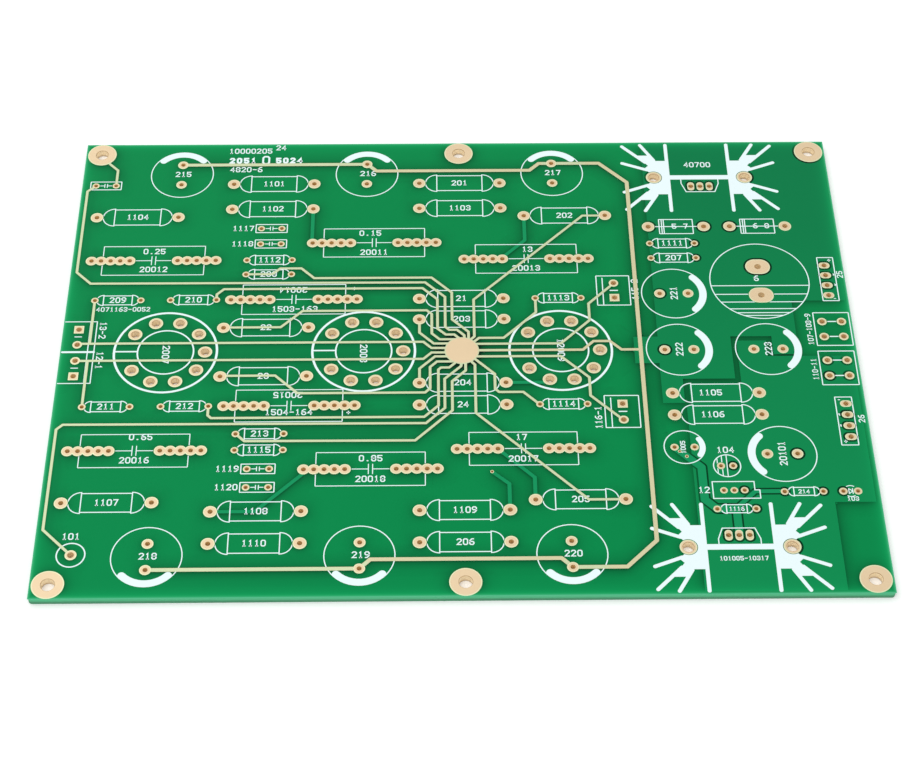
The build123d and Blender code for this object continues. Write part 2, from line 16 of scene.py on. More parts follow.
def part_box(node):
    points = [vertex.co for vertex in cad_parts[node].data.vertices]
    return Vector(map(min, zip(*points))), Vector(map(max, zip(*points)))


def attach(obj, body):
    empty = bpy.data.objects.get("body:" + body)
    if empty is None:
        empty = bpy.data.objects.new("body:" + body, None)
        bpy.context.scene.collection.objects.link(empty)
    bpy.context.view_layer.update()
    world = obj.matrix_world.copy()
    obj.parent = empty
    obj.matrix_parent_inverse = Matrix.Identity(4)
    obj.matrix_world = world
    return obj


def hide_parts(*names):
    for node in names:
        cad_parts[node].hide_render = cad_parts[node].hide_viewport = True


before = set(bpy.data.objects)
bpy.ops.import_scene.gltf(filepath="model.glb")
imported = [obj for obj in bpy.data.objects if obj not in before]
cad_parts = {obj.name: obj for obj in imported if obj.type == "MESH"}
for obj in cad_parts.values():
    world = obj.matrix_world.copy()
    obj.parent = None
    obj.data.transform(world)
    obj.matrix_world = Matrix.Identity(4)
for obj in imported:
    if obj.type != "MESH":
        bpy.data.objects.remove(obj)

bl_info = {
    "name": "Phono Preamplifier Board",
    "version": (1, 0, 0),
    "blender": (4, 5, 0),
    "location": "View3D > Sidebar > Board",
    "description": "Finishes a bare printed circuit board layer by layer",
    "category": "Object",
}

MM = 0.001
LAMINATE_LOW, LAMINATE_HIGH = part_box("board_laminate")
FACE = LAMINATE_HIGH.z  # component side of the laminate
BACK = LAMINATE_LOW.z  # solder side of the laminate
HALF_LENGTH = LAMINATE_HIGH.x
HALF_WIDTH = LAMINATE_HIGH.y

MASKED_NODES = ["masked_signal_tracks", "regulator_output_copper", "upper_copper_area", "lower_copper_area"]
TRACK_NODES = ["star_ground_tracks", "ground_bus", "chassis_ground_track"]
LEGEND_NODES = sorted(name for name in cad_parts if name.startswith("legend_"))
LAND_NODES = sorted(set(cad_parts) - set(MASKED_NODES + TRACK_NODES + LEGEND_NODES + ["board_laminate"]))

CELL = 0.05 * MM  # side of one cell of the map of copper
MAP_MARGIN = 5 * MM  # open ground that the map holds beyond the board
MAP_ROWS = round(2 * (HALF_WIDTH + MAP_MARGIN) / CELL)
MAP_COLUMNS = round(2 * (HALF_LENGTH + MAP_MARGIN) / CELL)
SQUARES = ((0.5, 0.2), (1.0, 0.2), (2.2, 0.3), (4.4, 0.3))  # half side in mm and weight of the squares round each place that set the painted shade
SHADE_SHIFT = 0.3 * MM  # the painted shade on the mask is darkest this far in front of copper
LAND_LOAD, TRACK_LOAD, MASKED_LOAD = 23, 36, 20  # how much painted shade each kind of copper puts on the mask round it
BAND_STEPS = (0, 0.035, 0.09, 0.18, 0.34, 0.6, 1)  # lines across the band of mask beside copper, of its reach
BAND_PIECE = 0.5 * MM  # longest piece of that band along an edge
FIRST_LOOK = 0.12 * MM  # nearest place where the band looks for other copper
STAR_SQUARE = 4 * MM  # side of the square that finds the ground star
MASK_EASE, MASK_BORDER = 0.04 * MM, 0.02 * MM  # rounding of the mask over copper, and its flat border
SHARP_ANGLE = radians(50)  # creases sharper than this stay sharp
TIGHTEST_TURN = 0.62  # cosine of half a corner's turn, below which its mitre grows no more
HOLE_RIM = 0.25  # width of the rim round a hole, as a share of the outer rim's

# Share of the rim's width on the lands that are too narrow for all of it
NARROW_LANDS = {"via_lands": 0.2, **dict.fromkeys(
    ["small_resistor_lands", "small_capacitor_lands", "adjust_capacitor_lands", "trimmer_lands",
     "output_capacitor_lands", "lamp_lands"], 0.5)}


def colour(name, description, default):
    """A colour, written as the 8-bit shade that it shows as under plain light."""
    return FloatVectorProperty(name=name, description=description, subtype="COLOR", size=3, min=0, max=1,
                               default=linear(default))


def in_mm(name, description, default_mm):
    """A length in metres, given in millimetres."""
    return FloatProperty(name=name, description=description, subtype="DISTANCE", unit="LENGTH",
                         default=default_mm * MM, precision=5)


def number(name, description, default, subtype="NONE"):
    """A plain number, an angle in radians or a power in watts."""
    return FloatProperty(name=name, description=description, subtype=subtype, default=default)


def linear(shade):
    """Linear light of an 8-bit sRGB shade: the standard curve, with its straight foot."""
    value = np.asarray(shade, float) / 255
    return tuple(np.where(value <= 0.04045, value / 12.92, ((value + 0.055) / 1.055) ** 2.4).tolist())


class MaskSettings(PropertyGroup):
    """Solder mask and laminate."""
    open_green: colour("Open green", "Mask over bare laminate", (9, 134, 72))
    # Painted shade: the mask over copper runs from the front green to a darker green at the back
    copper_green: colour("Copper green", "Mask over copper at the front", (17, 138, 79))
    back_green: colour("Back copper green", "Mask over copper at the back", (13, 122, 71))
    track_green: colour("Track green", "Mask over the covered tracks", (24, 147, 92))
    # Painted shade: the mask darkens where copper closes in all round it
    shut_green: colour("Shut-in green", "Mask over laminate with copper all round it", (4, 30, 14))
    # Painted light at the board's edge: a lit border, and a painted highlight on the mask's outermost lip
    glow_green: colour("Glow green", "Mask near the board's edge, lit through it", (20, 168, 96))
    lip_green: colour("Lip green", "Outermost lip of the mask", (104, 196, 156))
    glow_reach: in_mm("Glow reach", "Distance in which the lit border fades to a third", 1.1)
    lip_reach: in_mm("Lip reach", "Distance in which the outermost lip fades to a third", 0.22)
    # Painted light and shade on the cut edge: paler at the top, darker near the underside that rests on the floor
    laminate_pale: colour("Pale laminate", "Cut edge under the mask's lip", (92, 192, 140))
    laminate_deep: colour("Deep laminate", "Cut edge near the underside", (84, 150, 114))
    rim_reach: in_mm("Rim reach", "Width of the thicker mask beside copper", 4.4)
    crest: in_mm("Crest", "Height of the thicker mask where it meets copper", 0.045)


class MetalSettings(PropertyGroup):
    """Plated copper."""
    land_gold: colour("Land gold", "Middle of a plated land", (232, 207, 168))
    # Painted highlight: the paler rounded rim of a land
    rim_gold: colour("Rim gold", "Rounded rim of a plated land", (232, 236, 194))
    track_gold: colour("Track gold", "Bare plated tracks", (207, 217, 175))
    bus_gold: colour("Bus gold", "Middle of the wide bus", (216, 208, 166))
    # Painted shade on the rounded lip of a hole
    lip_brown: colour("Lip brown", "Rounded lip of a hole", (176, 142, 92))
    # Painted shade on the walls of narrow holes, and painted light on the walls of wide ones
    bore_brown: colour("Bore brown", "Plated wall of a narrow hole", (240, 204, 134))
    bore_gold: colour("Bore gold", "Plated wall of a wide hole", (255, 238, 203))
    narrow_bore: in_mm("Narrow bore", "Radius up to which a hole's wall is brown", 0.45)
    wide_bore: in_mm("Wide bore", "Radius from which a hole's wall is gold", 1.0)
    star_reach: in_mm("Star reach", "Radius of the golden middle of the ground star", 4.0)
    ease: in_mm("Edge radius", "Rounding of the plated edges", 0.05)
    rim_width: in_mm("Rim width", "Width of the paler rim", 0.34)
    track_rim: in_mm("Track rim", "Width of the flat border of a track", 0.02)


class PrintSettings(PropertyGroup):
    """Printed legend and numbers."""
    ink_white: colour("Ink white", "Printed ink", (236, 252, 254))
    thin_ink: colour("Thin ink", "Printed ink where the mask shows through", (215, 252, 240))
    ease: in_mm("Ink edge", "Rounding of the ink's edge", 0.02)
    border: in_mm("Ink border", "Width in which the ink thins towards its edge", 0.01)
    spread: in_mm("Ink spread", "How far a line's top spreads past its foot", 0.03)
    ink_height: in_mm("Ink height", "Top of a printed number above the laminate", 0.066)
    digit_height: in_mm("Digit height", "From the lowest to the highest stroke's middle", 1.62)
    digit_width: in_mm("Digit width", "From the left to the right stroke's middle", 0.98)
    digit_pitch: in_mm("Digit pitch", "Step from one digit to the next", 1.52)
    stroke: in_mm("Stroke", "Width of a number's strokes", 0.3)


class StageSettings(PropertyGroup):
    """Floor, light and camera."""
    azimuth: number("Azimuth", "Camera's turn about the board", radians(1.179), "ANGLE")
    elevation: number("Elevation", "Camera's height as an angle", radians(51.514), "ANGLE")
    roll: number("Roll", "Camera's turn about its own axis", radians(0.566), "ANGLE")
    distance: in_mm("Distance", "From the camera to the point it looks at", 541.96)
    lens: number("Lens", "Focal length in mm on a 36 mm wide sensor", 83.44)
    floor_white: colour("Floor white", "Paper under the board", (247, 247, 247))
    floor_lift: number("Floor lift", "White that the paper adds for the eye and in gloss", 0.18)
    sky: number("Sky", "Strength of the even light from all round", 0.75)
    front_lamp: number("Front lamp", "Power of the soft lamp at the front left", 3.0, "POWER")
    back_lamp: number("Back lamp", "Power of the soft lamp at the back left", 3.0, "POWER")


# ---- surfaces from the frame

def read_surface(name):
    """Welded corners (metres) and triangles of a CAD node: corners closer than a tenth of a micron are one."""
    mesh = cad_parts[name].data
    corners = np.empty(len(mesh.vertices) * 3)
    mesh.vertices.foreach_get("co", corners)
    mesh.calc_loop_triangles()
    triangles = np.empty(len(mesh.loop_triangles) * 3, int)
    mesh.loop_triangles.foreach_get("vertices", triangles)
    corners = corners.reshape(-1, 3)
    _, first, same = np.unique(np.round(corners * 1e7).astype(np.int64), axis=0, return_index=True,
                               return_inverse=True)
    triangles = same.reshape(-1)[triangles.reshape(-1, 3)]
    whole = (triangles != np.roll(triangles, 1, axis=1)).all(axis=1)
    return corners[first], triangles[whole]


def cap_outline(corners, triangles, level):
    """Which triangles lie flat at a level, and the directed edges round them.

    An edge is on the outline when no flat triangle runs along it the other way."""
    flat = (np.abs(corners[triangles][:, :, 2] - level) < 1e-6).all(axis=1)
    caps = triangles[flat]
    edges = np.concatenate([caps[:, [0, 1]], caps[:, [1, 2]], caps[:, [2, 0]]])
    key = edges[:, 0] * len(corners) + edges[:, 1]
    back = edges[:, 1] * len(corners) + edges[:, 0]
    return flat, edges[~np.isin(key, back)]


def outward(corners, edges, up):
    """At each outline corner, the level direction away from the material, and the mitre that keeps widths true.

    An edge's own direction is the cross product of its run and the face's normal. A corner's is the mean of its
    two edges, stretched by one over the cosine of half their turn, within a limit."""
    start, end = corners[edges.T]
    run = end - start
    run /= np.linalg.norm(run, axis=1, keepdims=True)
    away = np.cross(run, [0, 0, up])
    total = np.zeros_like(corners)
    np.add.at(total, edges[:, 0], away)
    np.add.at(total, edges[:, 1], away)
    length = np.linalg.norm(total, axis=1, keepdims=True)
    mean = total / np.maximum(length, 1e-9)
    turn = np.einsum("ij,ij->i", mean[edges[:, 0]], away)
    stretch = np.ones(len(corners))
    stretch[edges[:, 0]] = 1 / np.clip(turn, TIGHTEST_TURN, 1)
    return mean * stretch[:, None]


def loops_of(corners, edges):
    """The closed loops among outline edges: each edge's loop, and each loop's swept area and middle.

    Every corner takes the lowest number in its loop, passed on from neighbour to neighbour until it settles."""
    label = np.arange(len(corners))
    settled = False
    while not settled:
        fresh = label.copy()
        np.minimum.at(fresh, edges, label[edges].min(axis=1, keepdims=True))
        fresh = fresh[fresh]
        settled = bool((fresh == label).all())
        label = fresh
    start, end = corners[edges.T]
    swept = (start[:, 0] * end[:, 1] - start[:, 1] * end[:, 0]) / 2
    _, member = np.unique(label[edges[:, 0]], return_inverse=True)
    member = member.reshape(-1)
    area = np.bincount(member, swept)
    middle = np.stack([np.bincount(member, start[:, k]) for k in (0, 1)], axis=1) / np.bincount(member)[:, None]
    return member, area, middle


def outer_outline(name):
    """Corners, outline edges and level directions round a node's top face, without the bores of lands."""
    corners, triangles = read_surface(name)
    _, outline = cap_outline(corners, triangles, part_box(name)[1].z)
    away = outward(corners, outline, 1)
    if name in LAND_NODES:
        loop, area, _ = loops_of(corners, outline)
        outline = outline[area[loop] > 0]
    return corners, outline, away


def bore_middles(name):
    """Middle of every hole of a land node: the loops of its top face that turn the way of a hole."""
    corners, triangles = read_surface(name)
    _, edges = cap_outline(corners, triangles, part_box(name)[1].z)
    _, area, middle = loops_of(corners, edges)
    return middle[area < 0]


def pair_centres(name, span_mm, upright=False):
    """Middle points of the holes of a node that are one lead span apart, row by row from the back."""
    holes = bore_middles(name)
    step = np.array([0, span_mm * MM]) if upright else np.array([span_mm * MM, 0])
    gap = np.linalg.norm(holes[:, None] + step - holes[None], axis=2)
    first, _ = np.nonzero(gap < 0.1 * MM)
    middle = holes[first] + step / 2
    return middle[np.lexsort((middle[:, 0], -np.round(middle[:, 1], 4)))]


def middle_of(name):
    """Level middle of a node's box."""
    low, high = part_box(name)
    return np.array([(low.x + high.x) / 2, (low.y + high.y) / 2])


def row_middles(name):
    """Middle of a node's holes in the back half and in the front half of the board."""
    holes = bore_middles(name)
    return [holes[holes[:, 1] * side > 0].mean(axis=0) for side in (1, -1)]


def add_mesh(name, corners, faces, numbers=None, smooth=True):
    """A mesh object from arrays, with named numbers at each corner if given.

    Level faces stay flat-shaded, so that long thin ones don't take a slant from the shoulders at their ends."""
    mesh = bpy.data.meshes.new(name)
    mesh.from_pydata(corners.tolist(), [], faces)
    for attribute, values in (numbers or {}).items():
        layer = mesh.attributes.new(attribute, "FLOAT", "POINT")
        layer.data.foreach_set("value", np.asarray(values, np.float32))
    mesh.update()
    if smooth:
        mesh.shade_smooth()
        mesh.set_sharp_from_angle(angle=SHARP_ANGLE)
        normals = np.empty(len(mesh.polygons) * 3)
        mesh.polygons.foreach_get("normal", normals)
        mesh.polygons.foreach_set("use_smooth", np.abs(normals[2::3]) < 0.999)
    made = bpy.data.objects.new(name, mesh)
    bpy.context.scene.collection.objects.link(made)
    return made


def meets_copper(corners, edges, cover):
    """Which outline edges have other copper just outside them, by the cover map."""
    start, end = corners[edges.T, :2]
    run = (end - start) / np.linalg.norm(end - start, axis=1, keepdims=True)
    beside = (start + end) / 2 + np.stack([run[:, 1], -run[:, 0]], axis=1) * 2 * CELL
    return cover[cell_of(beside)]


def softened(name, levels, ease, rim_width, spread=0.0, cover=None):
    """A copy of a CAD node whose flat faces end in a rounded shoulder, with a rim inside the shoulder.

    At angle a the shoulder lies ease * (1 - cos a) inside the outline, less the spread, and ease * (1 - sin a)
    below the face. Each level is (height, way it faces, steps in the shoulder). The attribute edge is 1 on the
    shoulder, or -1 round a land's hole, and 0 inside the rim; bore holds the hole's radius. Where the cover map
    shows other copper beside an outline edge, the track joins it there and keeps its sharp end."""
    corners, triangles = read_surface(name)
    edge = np.ones(len(corners))
    bore = np.zeros(len(corners))
    rings, gussets = [], []
    for level, up, steps in levels:
        flat, outline = cap_outline(corners, triangles, level)
        loop, area, _ = loops_of(corners, outline)
        seam = outline[:0]
        if cover is not None:
            joined = meets_copper(corners, outline, cover)
            seam, outline, loop = outline[joined], outline[~joined], loop[~joined]
        away = outward(corners, outline, up)
        ids = np.unique(outline)
        seam_start, seam_end = np.isin(seam[:, 0], ids), np.isin(seam[:, 1], ids)
        side = np.ones(len(corners))
        if name in LAND_NODES:
            hole = area[loop] * up < 0
            side[outline[hole, 0]] = -1
            bore[outline[hole, 0]] = np.sqrt(np.abs(area[loop][hole]) / np.pi)
        edge[ids] = side[ids]
        angles = np.linspace(0, np.pi / 2, steps + 1)[1:]
        offsets = [(ease * (1 - np.cos(a)) - spread, ease * (1 - np.sin(a)), 1.0) for a in angles]
        offsets.append((ease + rim_width, 0.0, 0.0))
        before = np.arange(len(corners))
        base = corners.copy()
        corners[ids, 2] -= up * ease
        for inward, down, paint in offsets:
            after = before.copy()
            after[ids] = len(corners) + np.arange(len(ids))
            if not paint:
                inward = np.where(side[ids] < 0, ease + HOLE_RIM * rim_width, inward)[:, None]
            ring = base[ids] - away[ids] * inward
            ring[:, 2] = level - up * down
            corners = np.concatenate([corners, ring])
            edge = np.concatenate([edge, side[ids] * paint])
            bore = np.concatenate([bore, bore[ids]])
            for start, end in (outline.T, seam[seam_start & seam_end].T):
                rings.append(np.stack([before[start], before[end], after[end], after[start]], axis=1))
            gussets += [[before[a], before[b], after[a]] for a, b in seam[seam_start & ~seam_end]]
            gussets += [[before[a], before[b], after[b]] for a, b in seam[seam_end & ~seam_start]]
            before = after
        triangles = triangles.copy()
        triangles[flat] = before[triangles[flat]]
    faces = triangles.tolist() + np.concatenate(rings).tolist() + gussets
    made = add_mesh(name + "_finished", corners, faces, {"edge": edge, "bore": bore})
    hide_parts(name)
    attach(made, "root")
    return made


# ---- map of the copper, and the mask beside it

def cell_of(plan):
    """Row and column of the cover map's cell at each level place, kept inside the map."""
    column = ((plan[..., 0] + HALF_LENGTH + MAP_MARGIN) / CELL).astype(int)
    row = ((plan[..., 1] + HALF_WIDTH + MAP_MARGIN) / CELL).astype(int)
    return row.clip(0, MAP_ROWS - 1), column.clip(0, MAP_COLUMNS - 1)


def next_cell(place, half):
    """First cell whose middle lies past each place along one side of the board."""
    return np.ceil((place + half + MAP_MARGIN) / CELL - 0.5).astype(int)


def laid_out(counts):
    """Runs of these counts laid end to end: each item's run, and its place in the run."""
    run = np.repeat(np.arange(len(counts)), counts)
    return run, np.arange(len(run)) - (np.cumsum(counts) - counts)[run]


def copper_load():
    """Map of small cells that says how much painted shade the copper or hole in each one puts on the mask near it.

    Along each row an outline adds its kind's load where it comes down and takes it off where it goes up, so the
    running sum is above zero inside it."""
    marks = np.zeros((MAP_ROWS, MAP_COLUMNS + 1), np.int16)
    load_of = (dict.fromkeys(LAND_NODES, LAND_LOAD) | dict.fromkeys(MASKED_NODES, MASKED_LOAD)
               | dict.fromkeys(TRACK_NODES + ["masked_signal_tracks"], TRACK_LOAD))
    for name, kind in load_of.items():
        corners, outline, _ = outer_outline(name)
        start, end = corners[outline.T, :2]
        low, high = np.minimum(start, end)[:, 1], np.maximum(start, end)[:, 1]
        first = next_cell(low, HALF_WIDTH)
        edge, step = laid_out(next_cell(high, HALF_WIDTH) - first)
        row = first[edge] + step
        level = (row + 0.5) * CELL - HALF_WIDTH - MAP_MARGIN
        share = (level - start[edge, 1]) / (end - start)[edge, 1]
        crossing = start[edge, 0] + share * (end - start)[edge, 0]
        column = next_cell(crossing, HALF_LENGTH)
        np.add.at(marks, (row, column), np.where(end[edge, 1] < start[edge, 1], kind, -kind))
    return marks.cumsum(axis=1)[:, :-1]


def running_totals(load):
    """Sums of the map over every rectangle that starts at its first cell."""
    return np.pad(load.astype(np.int64).cumsum(axis=0).cumsum(axis=1), ((1, 0), (1, 0)))


def star_middle(load):
    """Level middle of the ground star: the mean of the cells round which bare metal lies thickest."""
    totals = running_totals(load)
    side = round(STAR_SQUARE / CELL)
    heap = totals[side:, side:] - totals[:-side, side:] - totals[side:, :-side] + totals[:-side, :-side]
    row, column = np.nonzero(heap == heap.max())
    return ((column.mean() + side / 2) * CELL - HALF_LENGTH - MAP_MARGIN,
            (row.mean() + side / 2) * CELL - HALF_WIDTH - MAP_MARGIN)


def shut_in(plan, totals):
    """Painted shade that the copper round each place puts on the mask, from 0 on open ground to 1 in a narrow
    ring.

    The covered share c is the mean over four squares, from the map's running totals. Beside a long straight edge
    it falls nearly as exp(-distance / 1.5 mm) / 2. The darkness is c * (1.45 - 0.75 * c) + 0.7 * c ** 6."""
    share = np.zeros(len(plan))
    row, column = cell_of(plan[:, :2] + (0, SHADE_SHIFT))
    for half_mm, weight in SQUARES:
        half = round(half_mm * MM / CELL)
        top, bottom = (row + half + 1).clip(0, MAP_ROWS), (row - half).clip(0, MAP_ROWS)
        right, left = (column + half + 1).clip(0, MAP_COLUMNS), (column - half).clip(0, MAP_COLUMNS)
        covered = totals[top, right] - totals[bottom, right] - totals[top, left] + totals[bottom, left]
        share += weight * covered / MASKED_LOAD / (2 * half + 1) ** 2
    share = share.clip(0, 1)
    return (share * (1.45 - 0.75 * share) + 0.7 * share ** 6).clip(0, 1)


def divided(corners, away, edges):
    """Outline edges cut into even pieces of the band: place and direction at both ends of each.

    At a corner that turns inwards and between corners a step's direction is the edge's own level normal."""
    start, end = corners[edges.T]
    run = end - start
    length = np.linalg.norm(run, axis=1)
    pieces = np.ceil(length / BAND_PIECE).astype(int).clip(1)
    edge, step = laid_out(pieces)
    normal = np.cross(run / length[:, None], [0, 0, 1])
    ends = []
    for shift, sign in ((0, -1), (1, 1)):
        way = normal[edge].copy()
        corner = edges[edge, shift]
        opens = np.einsum("ij,ij->i", away[corner], run[edge]) * sign > 0
        at_corner = (step + shift == (0, pieces[edge])[shift]) & opens
        way[at_corner] = away[corner[at_corner]]
        ends.append((start[edge] + run[edge] * ((step + shift) / pieces[edge])[:, None], way))
    return ends


def clear_reach(ends, reach, cover):
    """How far each step's band may go before any of five rays across it meets other copper or a hole."""
    (first, first_way), (second, second_way) = ends
    far = np.full(len(first), reach)
    distance = np.arange(FIRST_LOOK, reach, CELL)
    for share in np.linspace(0, 1, 5):
        place = first + (second - first) * share
        way = first_way + (second_way - first_way) * share
        met = cover[cell_of(place[:, None, :2] + way[:, None, :2] * distance[:, None])]
        far = np.minimum(far, np.where(met.any(axis=1), distance[met.argmax(axis=1)], reach))
    return far


def rim_band(name, reach, crest, cover, totals):
    """A band of mask round a copper node, with painted shade at its corners: it falls evenly from the copper's
    side to the laminate.

    At distance d it stands crest * (1 - d / reach) high, so where two bands cross, the nearer copper's shows."""
    corners, outline, away = outer_outline(name)
    ends = divided(corners, away, outline)
    far = clear_reach(ends, reach, cover)
    count = len(far)
    plan, faces = [], []
    for k, step in enumerate(BAND_STEPS):
        distance = np.minimum(step * reach, far)
        for place, way in ends:
            level = FACE + crest * (1 - distance / reach)
            plan.append(np.column_stack([place[:, :2] + way[:, :2] * distance[:, None], level]))
        if k:
            i = np.flatnonzero(far > BAND_STEPS[k - 1] * reach) + (2 * k - 2) * count
            faces.append(np.stack([i, i + count, i + 3 * count, i + 2 * count], axis=1))
    plan = np.concatenate(plan)
    plan[:, 0] = np.clip(plan[:, 0], -HALF_LENGTH, HALF_LENGTH)
    plan[:, 1] = np.clip(plan[:, 1], -HALF_WIDTH, HALF_WIDTH)
    faces = np.concatenate(faces)
    used, faces = np.unique(faces, return_inverse=True)
    plan = plan[used]
    made = add_mesh(name + "_mask_rim", plan, faces.reshape(-1, 4).tolist(), {"shut": shut_in(plan, totals)},
                    smooth=False)
    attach(made, "root")
    return made


# ---- shader groups

class Wiring:
    """Short names for adding and joining shader nodes in one tree."""

    def __init__(self, tree):
        self.tree = tree

    def add(self, kind, *first, **named):
        """A node's outputs, from its first inputs in order, then its settings and further inputs by name.

        In a name an underscore stands for a space."""
        made = self.tree.nodes.new(kind)
        for key, value in named.items():
            label = key.replace("_", " ")
            if label in made.inputs:
                self.feed(made.inputs[label], value)
            else:
                setattr(made, key, value)
        for socket, value in zip(made.inputs, first):
            self.feed(socket, value)
        return made.outputs

    def feed(self, socket, value):
        """A link from another socket, or a plain value; a colour is opaque."""
        if isinstance(value, NodeSocket):
            self.tree.links.new(value, socket)
        else:
            socket.default_value = (*value[:3], 1.0) if socket.type == "RGBA" else value

    def maths(self, operation, first, second=0.0):
        """One arithmetic step."""
        return self.add("ShaderNodeMath", first, second, operation=operation)[0]

    def blend(self, share, first, second):
        """A mix of two colours."""
        return self.add("ShaderNodeMix", data_type="RGBA", Factor=share, A=first, B=second)["Result"]

    def vector(self, operation, first, second):
        """One step with two vectors."""
        return self.add("ShaderNodeVectorMath", first, second, operation=operation)

    def scaled(self, colour, factor):
        """A colour times a number."""
        return self.add("ShaderNodeVectorMath", colour, operation="SCALE", Scale=factor)[0]

    def step(self, value, low, high):
        """A smooth step from 0 at low to 1 at high."""
        return self.add("ShaderNodeMapRange", value, low, high, interpolation_type="SMOOTHSTEP")["Result"]

    def fade(self, value, reach):
        """A fall from 1 at 0 to a third at the reach: the exponential of minus value over reach."""
        return self.maths("EXPONENT", self.maths("MULTIPLY", self.maths("DIVIDE", value, reach), -1.0))

    def sway(self, value, amount):
        """A value between 0 and 1 as a swing to both sides of 0: it less a half, times an amount."""
        return self.maths("MULTIPLY", self.maths("SUBTRACT", value, 0.5), amount)

    def place(self):
        """The place on the board, in metres."""
        return self.add("ShaderNodeTexCoord")["Object"]

    def axis(self, vector, letter):
        """One part of a vector."""
        return self.add("ShaderNodeSeparateXYZ", vector)[letter]

    def tilt(self):
        """How level the surface lies: 1 where it faces straight up or down, 0 on a wall."""
        return self.maths("ABSOLUTE", self.axis(self.add("ShaderNodeNewGeometry")["Normal"], "Z"))

    def noise(self, place, scale, detail, roughness=0.5):
        """Cloudy noise between 0 and 1."""
        return self.add("ShaderNodeTexNoise", Vector=place, Scale=scale, Detail=detail,
                        Roughness=roughness)["Fac"]

    def attribute(self, name):
        """A number stored at the corners of the mesh."""
        return self.add("ShaderNodeAttribute", attribute_name=name)["Fac"]

    def bump(self, height, distance, strength):
        """A normal from a height mask; distance is the mask's full height in metres."""
        return self.add("ShaderNodeBump", Height=height, Distance=distance, Strength=strength)["Normal"]


def new_group(name, colours, numbers):
    """An empty shader group: it takes named colours and numbers, and gives a colour, a roughness and a height."""
    tree = bpy.data.node_groups.new(name, "ShaderNodeTree")
    for label in colours:
        tree.interface.new_socket(label, in_out="INPUT", socket_type="NodeSocketColor")
    for label, default in numbers.items():
        tree.interface.new_socket(label, in_out="INPUT", socket_type="NodeSocketFloat").default_value = default
    for label, kind in (("Color", "Color"), ("Roughness", "Float"), ("Height", "Float")):
        tree.interface.new_socket(label, in_out="OUTPUT", socket_type="NodeSocket" + kind)
    given, out = tree.nodes.new("NodeGroupInput").outputs, tree.nodes.new("NodeGroupOutput").inputs
    return tree, Wiring(tree), given, out


def mask_tone_group():
    """Tone of the solder mask: even green, cloudy by a few percent, with painted light at the board's edge: a lit
    border and a painted highlight on its outermost lip.

    The painted lit border and the painted highlight on the outermost lip each fall off as the exponential of the
    distance to the nearest edge."""
    tree, w, given, out = new_group("Mask tone", ("Green", "Glow", "Lip"),
                                    {"Glow Reach": 0.001, "Lip Reach": 0.001, "Cloudiness": 0.06})
    place = w.place()
    from_end = w.maths("SUBTRACT", HALF_LENGTH, w.maths("ABSOLUTE", w.axis(place, "X")))
    from_side = w.maths("SUBTRACT", HALF_WIDTH, w.maths("ABSOLUTE", w.axis(place, "Y")))
    from_edge = w.maths("MAXIMUM", w.maths("MINIMUM", from_end, from_side), 0.0)
    clouds = w.noise(place, scale=38.0, detail=3.0, roughness=0.55)
    grain = w.noise(place, scale=2600.0, detail=2.0)
    sway = w.maths("ADD", w.sway(clouds, given["Cloudiness"]), w.sway(grain, 0.04))
    shaded = w.scaled(given["Green"], w.maths("ADD", 1.0, sway))
    # Painted light: a lit border, then a painted highlight on the outermost lip of the mask
    lit = w.blend(w.fade(from_edge, given["Glow Reach"]), shaded, given["Glow"])
    w.feed(out["Color"], w.blend(w.fade(from_edge, given["Lip Reach"]), lit, given["Lip"]))
    w.feed(out["Roughness"], w.maths("ADD", 0.27, w.maths("MULTIPLY", clouds, 0.08)))
    w.feed(out["Height"], w.noise(place, scale=700.0, detail=1.0))
    return tree


def plating_group():
    """Matt plated metal: a painted highlight makes it paler at its rounded rim, painted shade makes it browner
    round a hole, its wall takes the Bore colour, and it has a satin grain.
    """
    tree, w, given, out = new_group("Plating", ("Metal", "Rim", "Lip", "Bore"),
                                    {"Edge": 0.0, "Rim Start": 0.25, "Rim Full": 0.5})
    place = w.place()
    grain = w.noise(place, scale=5200.0, detail=3.0, roughness=0.7)
    wall = w.maths("SUBTRACT", 1.0, w.step(w.tilt(), 0.15, 0.6))
    below_face = w.step(w.maths("SUBTRACT", FACE + 0.02 * MM, w.axis(place, "Z")), 0.0, 0.1 * MM)
    # Painted highlight: the Rim colour on the rounded rim. Painted shade: the Lip colour round a hole.
    face = w.blend(w.step(given["Edge"], given["Rim Start"], given["Rim Full"]), given["Metal"], given["Rim"])
    face = w.blend(w.step(w.maths("MULTIPLY", given["Edge"], -1.0), 0.5, 1.0), face, given["Lip"])
    bloom = w.noise(place, scale=120.0, detail=2.0)
    sway = w.maths("ADD", w.sway(grain, 0.1), w.sway(bloom, 0.1))
    shaded = w.scaled(face, w.maths("ADD", 1.0, sway))
    w.feed(out["Color"], w.blend(w.maths("MULTIPLY", wall, below_face), shaded, given["Bore"]))
    w.feed(out["Roughness"], w.maths("ADD", 0.36, w.maths("MULTIPLY", grain, 0.16)))
    w.feed(out["Height"], grain)
    return tree


GROUPS = {"Mask tone": mask_tone_group, "Plating": plating_group}


# ---- materials

def principled(name, specular, tint=(1.0, 1.0, 1.0)):
    """A material with one Principled shader, whose even values are set on its own sockets."""
    material = bpy.data.materials.new(name)
    material.use_nodes = True
    shader = material.node_tree.nodes["Principled BSDF"]
    shader.inputs["Specular IOR Level"].default_value = specular
    shader.inputs["Specular Tint"].default_value = (*tint, 1.0)
    return material, Wiring(material.node_tree), shader.inputs


